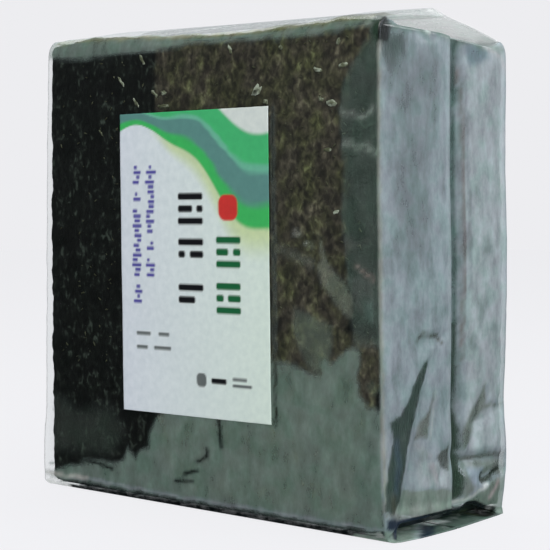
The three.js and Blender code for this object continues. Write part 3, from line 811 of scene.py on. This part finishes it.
# Pale strands and flecks on the first sheet, the larger ones also painted glints of the film over it: (x, z,
# half length, half width, degrees up from level, paleness)
FLECKS = (
    (31.8, 183.8, 2.5, 1.9, 20, 1.0), (44.7, 201.1, 1.2, 0.9, 0, 0.8), (15.9, 201.7, 2.4, 0.7, -60, 0.8),
    (76.0, 202.0, 1.7, 1.1, 60, 0.7), (65.3, 191.2, 2.6, 0.8, -15, 0.9), (78.8, 192.4, 2.7, 0.9, 5, 0.9),
    (36.8, 178.8, 1.5, 1.0, -40, 0.9), (72.5, 177.2, 3.2, 1.2, -5, 1.0), (67.0, 179.2, 1.6, 0.7, -40, 0.8),
    (75.3, 132.9, 1.8, 0.8, 20, 1.0), (70.5, 158.1, 2.4, 0.8, 0, 0.6), (-52.0, 190.6, 3.1, 0.6, -45, 0.9),
    (-38.4, 200.0, 2.9, 0.7, -55, 0.8), (-42.2, 180.7, 2.9, 0.7, -50, 0.8),
    (-30.2, 184.6, 2.6, 0.8, -35, 0.7), (-65.0, 167.4, 3.0, 0.6, -45, 0.6),
    (-24.4, 184.8, 1.8, 0.9, -20, 0.8), (-24.6, 178.8, 3.6, 0.8, -5, 0.6),
)
FAINT_FLECKS = 320
FLECK_INSET, FLECK_HALF_THICKNESS = 0.98, 0.25


def flecks_and_glints(material):
    """Strands that lie loose on the first sheet: the ones that stand out, which are also painted glints of
    the film, and many faint ones.
    """
    rng = random.Random(3)
    faint = [(rng.uniform(-94, 92), rng.uniform(60, 204), rng.uniform(0.4, 1.4), rng.uniform(0.14, 0.34),
              rng.uniform(-75, 60), rng.uniform(0.0, 0.3)) for _ in range(FAINT_FLECKS)]
    bm = bmesh.new()
    pale = bm.verts.layers.float.new("pale")
    for x, z, length, width, lean, paleness in FLECKS + tuple(faint):
        place = Matrix.Translation((x, FLECK_INSET - HALF_DEPTH - faced_swell(FRONT, x, z), z))
        turned = place @ Matrix.Rotation(-math.radians(lean), 4, "Y")
        shape = turned @ Matrix.Diagonal((length, FLECK_HALF_THICKNESS, width, 1))
        made = bmesh.ops.create_icosphere(bm, subdivisions=2 if paleness > 0.5 else 1, radius=1, matrix=shape)
        for vert in made["verts"]:
            frayed = 0.8 * crinkle(vert.co, 0.8, 4.7)
            vert.co += Vector((frayed * width, 0, 1.2 * frayed * width))
            vert[pale] = paleness * (0.75 + 0.9 * crinkle(vert.co, 1.1, 1.9))
    return finish_mesh("nori_flecks_and_glints", bm, material)


# ---------------------------------------------------------------- label

BLACK, LEAF, RED, INDIGO, GREY = "#15171C", "#0F6B3C", "#D8332E", "#5450A8", "#6B7372"

# The print's bars and dots: a half height and a hex, then each one's middle and half width, as (x, y, half).
# All in millimetres, from the label's lower left corner.
BAR_ROWS = (
    (1.5, BLACK, ((44.5, 97.0, 7.6), (41.4, 91.6, 4.4), (50.2, 91.6, 1.9), (44.5, 86.2, 7.6),
                  (44.5, 77.0, 7.6), (48.0, 71.6, 4.1), (39.0, 71.6, 2.0), (44.5, 57.0, 7.6),
                  (42.0, 51.6, 5.1))),
    (1.5, LEAF, ((67.0, 78.0, 7.2), (63.4, 72.8, 3.6), (72.0, 72.8, 2.2), (67.0, 67.6, 7.2),
                 (67.0, 58.0, 7.2), (70.4, 52.8, 3.8), (62.0, 52.8, 2.2), (67.0, 47.6, 7.2))),
    (5.6, RED, ((67.0, 92.0, 5.6),)),
    (0.8, GREY, ((14.0, 35.6, 4.6), (27.0, 35.6, 3.4), (13.0, 29.4, 3.6), (26.0, 29.4, 5.4))),
    (3.0, GREY, ((50.0, 16.6, 3.0),)),
    (1.2, BLACK, ((60.6, 16.6, 4.6),)),
    (0.7, GREY, ((73.0, 18.0, 4.2), (74.4, 15.2, 5.6))),
)


def small_bars():
    """Two columns of small indigo bars."""
    rng = random.Random(12)
    bars = []
    for column, foot in ((10.6, 50), (19.4, 62)):
        y = foot
        while y < 112:
            bars.append((column + rng.uniform(-0.6, 0.6), y, rng.uniform(1.8, 3.2), 0.8, INDIGO))
            bars.append((column + rng.uniform(-1.6, 1.6), y + 2.3, rng.uniform(0.8, 1.9), 0.8, INDIGO))
            y += rng.choice((4.4, 4.4, 7.6))
    return bars


def bar_cover(bar, x, y):
    """How much of a round-ended bar or a dot covers one place of the print."""
    middle_x, middle_y, half_x, half_y, _ = bar
    corner = min(half_x, half_y) * 0.7
    beyond_x = max(abs(x - middle_x) - half_x + corner, 0)
    beyond_y = max(abs(y - middle_y) - half_y + corner, 0)
    return smoothstep(0.4, -0.4, math.hypot(beyond_x, beyond_y) - corner)


def print_tone(bars, x, y):
    """The printed colour at one place: paper from bluish to greenish, a breaking wave, then the bars."""
    tone = [lerp(a, b, x / 90) for a, b in zip(colour("#E3EBF3"), colour("#E1F2E6"))]
    # the wave's lower and upper edge
    low = 127 - 46 * smoothstep(20, 92, x) + 2.6 * math.sin(x / 6.5)
    high = 139 - 17 * smoothstep(46, 92, x) + 2.2 * math.sin(x / 8 + 1.7)
    rise = (y - low) / max(high - low, 1)
    brushed = 0.05 * crinkle((x * 0.4 + y * 0.5, y * 1.4, 0), 5, 2.9)
    layers = (
        ("#CBE09A", smoothstep(-0.42, -0.06, rise) * 0.75 * smoothstep(16, 34, x)),
        ("#3EC063", smoothstep(-0.05, 0.02, rise)),
        ("#5F938C", smoothstep(0.16, 0.30, rise + brushed)),
        ("#6FBFA0", smoothstep(0.56, 0.62, rise + brushed)),
        ("#46BE77", smoothstep(0.64, 0.72, rise - brushed)),
        ("#DFE8E2", smoothstep(0.98, 1.04, rise)),
    )
    for code, cover in layers:
        tone = [lerp(old, new, cover) for old, new in zip(tone, colour(code))]
    for bar in bars:
        if abs(x - bar[0]) < bar[2] + 1 and abs(y - bar[1]) < bar[3] + 1:
            cover = bar_cover(bar, x, y)
            tone = [lerp(old, new, cover) for old, new in zip(tone, colour(bar[4]))]
    return tone[:3] + [1.0]


def paper_label(material):
    """The label's paper, following the front film."""
    bm = bmesh.new()
    ink = bm.verts.layers.float_color.new("ink")
    bmesh.ops.create_grid(bm, x_segments=LABEL_COLUMNS, y_segments=LABEL_ROWS, size=0.5)
    width, height = LABEL_RIGHT - LABEL_LEFT, LABEL_HEAD - LABEL_FOOT
    middle = Vector(((LABEL_LEFT + LABEL_RIGHT) / 2, 0, (LABEL_FOOT + LABEL_HEAD) / 2))
    turn = Matrix.Rotation(-LABEL_TURN, 3, "Y")
    bars = [(x, y, half, tall, code) for tall, code, row in BAR_ROWS for x, y, half in row] + small_bars()
    for vert in bm.verts:
        vert[ink] = print_tone(bars, (vert.co.x + 0.5) * width, (vert.co.y + 0.5) * height)
        x, _, z = turn @ Vector((vert.co.x * width, 0, vert.co.y * height)) + middle
        out = panel_swell(FRONT, x, z) + panel_ripple(FRONT, x, z)
        vert.co = (x, -HALF_DEPTH - out - LABEL_GAP, z)
    thicken(bm, bm.faces[:], -LABEL_THICKNESS)
    bmesh.ops.recalc_face_normals(bm, faces=bm.faces)
    return finish_mesh("label_paper", bm, material)


# ---------------------------------------------------------------- materials

# A Mix node's sockets for colours: its factor, its two colours and the mixed one
MIX_FACTOR, MIX_FIRST, MIX_SECOND, MIXED = 0, 6, 7, 2


def add_node(tree, kind, values=None, stops=(), **settings):
    """Adds a node. settings are its own properties and stops a ramp's (position, hex) pairs. values are its
    inputs: a number, a colour, an output, or a node whose first output is meant."""
    node = tree.nodes.new("ShaderNode" + kind)
    for key, value in settings.items():
        setattr(node, key, value)
    if stops:
        ramp = node.color_ramp.elements
        while len(ramp) < len(stops):
            ramp.new(0.5)
        for element, (position, code) in zip(ramp, stops):
            element.position = position
            element.color = colour(code)
    for key, value in (values or {}).items():
        if isinstance(value, bpy.types.Node):
            value = value.outputs[0]
        if isinstance(value, bpy.types.NodeSocket):
            tree.links.new(value, node.inputs[key])
        else:
            node.inputs[key].default_value = value
    return node


def new_material(name):
    """A new material, a way to add nodes to it, and the place on the object as a vector."""
    material = bpy.data.materials.new(name)
    material.use_nodes = True
    material.node_tree.nodes.clear()
    add = partial(add_node, material.node_tree)
    return material, add, add("TexCoord").outputs["Object"]


def per_metre(millimetres):
    """The scale that makes a noise texture's bumps about that many millimetres across."""
    return 1 / (millimetres * MM)


def polypropylene_film():
    """Cast polypropylene film: clear, glossy at a slant, with a milky haze where plies and creases gather;
    the same haze also carries painted sheen, highlights and shade.
    """
    material, add, place = new_material("polypropylene_film_clear")
    haze_and_painted_light = add("Attribute", attribute_name="haze_and_painted_light")
    drawn = add("Mapping", {"Vector": place, "Scale": (1, 1, 0.5)})
    # clouds in the haze and in its painted light and shade, drawn out upwards
    cloud = add("TexNoise", {"Vector": drawn, "Scale": per_metre(6), "Detail": 5.0, "Roughness": 0.62})
    drift = add("MapRange", {"Value": cloud, "From Min": 0.3, "From Max": 0.7, "To Min": 0.68,
                             "To Max": 1.32})
    haze_and_paint_share = add("Math", {0: haze_and_painted_light.outputs["Alpha"], 1: drift}, operation="MULTIPLY", use_clamp=True)
    # faint tinges of green and rose
    cast = add("TexNoise", {"Vector": place, "Scale": per_metre(8), "Detail": 3.0})
    tinge = add("ValToRGB", {"Fac": cast}, stops=(
        (0.36, "#E8F4EE"), (0.5, "#FAFCFB"), (0.64, "#FAF6F8")))
    tone = add("Mix", {MIX_FACTOR: 1.0, MIX_FIRST: haze_and_painted_light.outputs["Color"], MIX_SECOND: tinge},
               data_type="RGBA", blend_type="MULTIPLY").outputs[MIXED]
    # fine unevenness that breaks up the gloss
    pebble = add("TexNoise", {"Vector": place, "Scale": per_metre(3.2), "Detail": 3.0})
    bump = add("Bump", {"Height": pebble, "Strength": 0.2, "Distance": 0.0003})
    slant = add("LayerWeight", {"Blend": 0.5, "Normal": bump}).outputs["Facing"]
    steep = add("Math", {0: slant, 1: 5.0}, operation="POWER")
    mirror = add("Math", {0: steep, 1: 0.38, 2: 0.04}, operation="MULTIPLY_ADD")
    through = add("BsdfTransparent", {"Color": colour("#FDFEFE")})
    gloss = add("BsdfGlossy", {"Color": colour("#FFFFFF"), "Roughness": 0.13, "Normal": bump})
    clear = add("MixShader", {0: mirror, 1: through, 2: gloss})
    front_lit = add("BsdfPrincipled", {"Base Color": tone, "Roughness": 0.3, "Normal": bump})
    back_lit = add("BsdfTranslucent", {"Color": tone})
    haze_and_paint_shader = add("MixShader", {0: 0.35, 1: front_lit, 2: back_lit})
    whole = add("MixShader", {0: haze_and_paint_share, 1: clear, 2: haze_and_paint_shader})
    add("OutputMaterial", {"Surface": whole})
    return material


def roasted_laver():
    """Roasted laver: matted strands pressed thin, green-black with brown and olive patches, oiled."""
    material, add, place = new_material("roasted_laver_oiled")
    hung = add("Mapping", {"Vector": place, "Scale": (1, 1, 0.8)})
    patches = add("TexNoise", {"Vector": hung, "Scale": per_metre(5), "Detail": 3.0, "Roughness": 0.62,
                               "Distortion": 0.4})
    # strands, drawn coarser than real ones so that they show
    strands = add("TexNoise", {"Vector": hung, "Scale": per_metre(2.8), "Detail": 2.5, "Roughness": 0.5,
                               "Distortion": 0.5})
    both = add("Math", {0: patches, 1: strands}, operation="ADD")
    depth = add("Math", {0: both, 1: 0.5}, operation="MULTIPLY")
    black = add("ValToRGB", {"Fac": depth}, stops=(
        (0.38, "#020303"), (0.48, "#050707"), (0.56, "#0D1210"), (0.66, "#39443C")))
    brown = add("ValToRGB", {"Fac": depth}, stops=(
        (0.36, "#24211B"), (0.45, "#332F27"), (0.51, "#403C31"), (0.58, "#4F4B3D"), (0.7, "#79745F")))
    green = add("ValToRGB", {"Fac": depth}, stops=(
        (0.36, "#232418"), (0.45, "#333422"), (0.51, "#41432B"), (0.58, "#525536"), (0.7, "#7A8256")))
    growth = add("TexNoise", {"Vector": place, "Scale": per_metre(11), "Detail": 4.0})
    greener = add("MapRange", {"Value": growth, "From Min": 0.42, "From Max": 0.66})
    thin = add("Mix", {MIX_FACTOR: greener, MIX_FIRST: brown, MIX_SECOND: green}, data_type="RGBA")
    olive = add("Attribute", attribute_name="olive").outputs["Fac"]
    base = add("Mix", {MIX_FACTOR: olive, MIX_FIRST: black, MIX_SECOND: thin.outputs[MIXED]},
               data_type="RGBA").outputs[MIXED]
    bump = add("Bump", {"Height": strands, "Strength": 0.5, "Distance": 0.0006})
    shader = add("BsdfPrincipled", {"Base Color": base, "Roughness": 0.5, "Normal": bump})
    add("OutputMaterial", {"Surface": shader})
    return material


def coated_paper():
    """Coated label paper: the print's colours with a soft sheen, faintly uneven with the paper's fibres."""
    material, add, place = new_material("coated_paper_printed")
    ink = add("Attribute", attribute_name="ink").outputs["Color"]
    # flocks of fibres, since single ones are too fine to show
    fibre = add("TexNoise", {"Vector": place, "Scale": per_metre(3), "Detail": 4.0})
    shade = add("ValToRGB", {"Fac": fibre}, stops=((0.3, "#F3F5F6"), (0.7, "#FFFFFF")))
    base = add("Mix", {MIX_FACTOR: 1.0, MIX_FIRST: ink, MIX_SECOND: shade}, data_type="RGBA",
               blend_type="MULTIPLY").outputs[MIXED]
    shader = add("BsdfPrincipled", {"Base Color": base, "Roughness": 0.45})
    add("OutputMaterial", {"Surface": shader})
    return material


def pale_strands_and_glints():
    """Thin pale strands of laver, the palest also painted glints: from dull olive to a light grey green."""
    material, add, _ = new_material("laver_strand_pale_and_glint")
    pale = add("Attribute", attribute_name="pale").outputs["Fac"]
    base = add("ValToRGB", {"Fac": pale}, stops=((0.0, "#38391F"), (0.5, "#5F654C"), (1.0, "#AFB9A5")))
    shader = add("BsdfPrincipled", {"Base Color": base, "Roughness": 0.5})
    add("OutputMaterial", {"Surface": shader})
    return material


# ---------------------------------------------------------------- stage

CAMERA_PLACE = (524.2, -584.1, 144.7)
CAMERA_YAW = math.radians(41.69)  # turned left from the +Y direction
CAMERA_PITCH = math.radians(3.06)  # looking down
FOCAL_PIXELS = 1723.4
PHOTO_PIXELS = 550
SENSOR = 36.0
BACKDROP = "#EDEDF0"
FLOOR_RADIUS = 3000


def place_camera():
    data = bpy.data.cameras.new("photo_camera")
    data.sensor_width = SENSOR
    data.lens = SENSOR * FOCAL_PIXELS / PHOTO_PIXELS
    data.clip_start, data.clip_end = 0.01, 20
    camera = bpy.data.objects.new("photo_camera", data)
    camera.location = [value * MM for value in CAMERA_PLACE]
    camera.rotation_euler = (math.pi / 2 - CAMERA_PITCH, 0, CAMERA_YAW)
    bpy.context.scene.collection.objects.link(camera)
    bpy.context.scene.camera = camera


def soft_box(name, place, target, size, radiance, tint):
    """A soft square light of an even radiance, unseen by the camera itself. Sizes are in metres."""
    data = bpy.data.lights.new(name, "AREA")
    data.shape, data.size, data.size_y = "RECTANGLE", size, size
    data.energy = radiance * math.pi * size * size
    data.color = colour(tint)[:3]
    light = bpy.data.objects.new(name, data)
    light.location = place
    light.rotation_euler = (Vector(target) - Vector(place)).to_track_quat("-Z", "Y").to_euler()
    light.visible_camera = False
    bpy.context.scene.collection.objects.link(light)


def studio():
    """A pale floor and a pale room that is dim in front of the pack and bright behind it."""
    material, add, _ = new_material("matt_floor_paper")
    matt = add("BsdfDiffuse", {"Color": colour(BACKDROP)})
    even = add("Emission", {"Color": colour(BACKDROP), "Strength": 1.03})
    add("OutputMaterial", {"Surface": add("MixShader", {0: 0.94, 1: matt, 2: even})})
    bm = bmesh.new()
    bmesh.ops.create_circle(bm, cap_ends=True, radius=FLOOR_RADIUS, segments=96)
    floor = finish_mesh("floor", bm, material)
    floor.visible_glossy = False

    world = bpy.data.worlds.new("pale_room")
    world.use_nodes = True
    world.node_tree.nodes.clear()
    add = partial(add_node, world.node_tree)
    seen = add("Background", {"Color": colour(BACKDROP), "Strength": 1.0})
    toward = add("SeparateXYZ", {0: add("TexCoord").outputs["Generated"]}).outputs
    glow = add("MapRange", {"Value": toward["Y"], "From Min": -0.1, "From Max": 0.4, "To Min": 0.03,
                            "To Max": 1.0})
    above = add("MapRange", {"Value": toward["Z"], "From Min": -0.1, "From Max": 0.0, "To Min": 0.05,
                             "To Max": 1.0})
    lit = add("Math", {0: glow, 1: above}, operation="MULTIPLY")
    room = add("Background", {"Color": colour("#E3E9EE"), "Strength": lit})
    path = add("LightPath").outputs["Is Camera Ray"]
    add("OutputWorld", {"Surface": add("MixShader", {0: path, 1: room, 2: seen})})
    bpy.context.scene.world = world

    soft_box("key_softbox", (0.75, -0.75, 1.15), (0, 0, 0.1), 0.9, 6.5, "#FFFFFF")
    soft_box("side_softbox", (1.2, 0.2, 0.7), (0.1, 0, 0.1), 0.9, 3.6, "#EAF2FF")
    soft_box("top_softbox", (-0.2, 0.2, 1.4), (0, 0, 0.1), 1.0, 3.0, "#FFFFFF")


place_camera()
studio()
bpy.context.scene.view_settings.view_transform = "Standard"

film_material = polypropylene_film()
laver_material = roasted_laver()
paper_material = coated_paper()

bag = film_bag(film_material)
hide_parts("bag")
block = nori_block(laver_material)
front_sheet = faced_sheet("nori_front_sheet", FRONT, laver_material)
back_sheet = faced_sheet("nori_back_sheet", BACK, laver_material)
flecks = flecks_and_glints(pale_strands_and_glints())
label = paper_label(paper_material)
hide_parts("label")
for piece in (bag, block, front_sheet, back_sheet, flecks, label):
    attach(piece, "root")
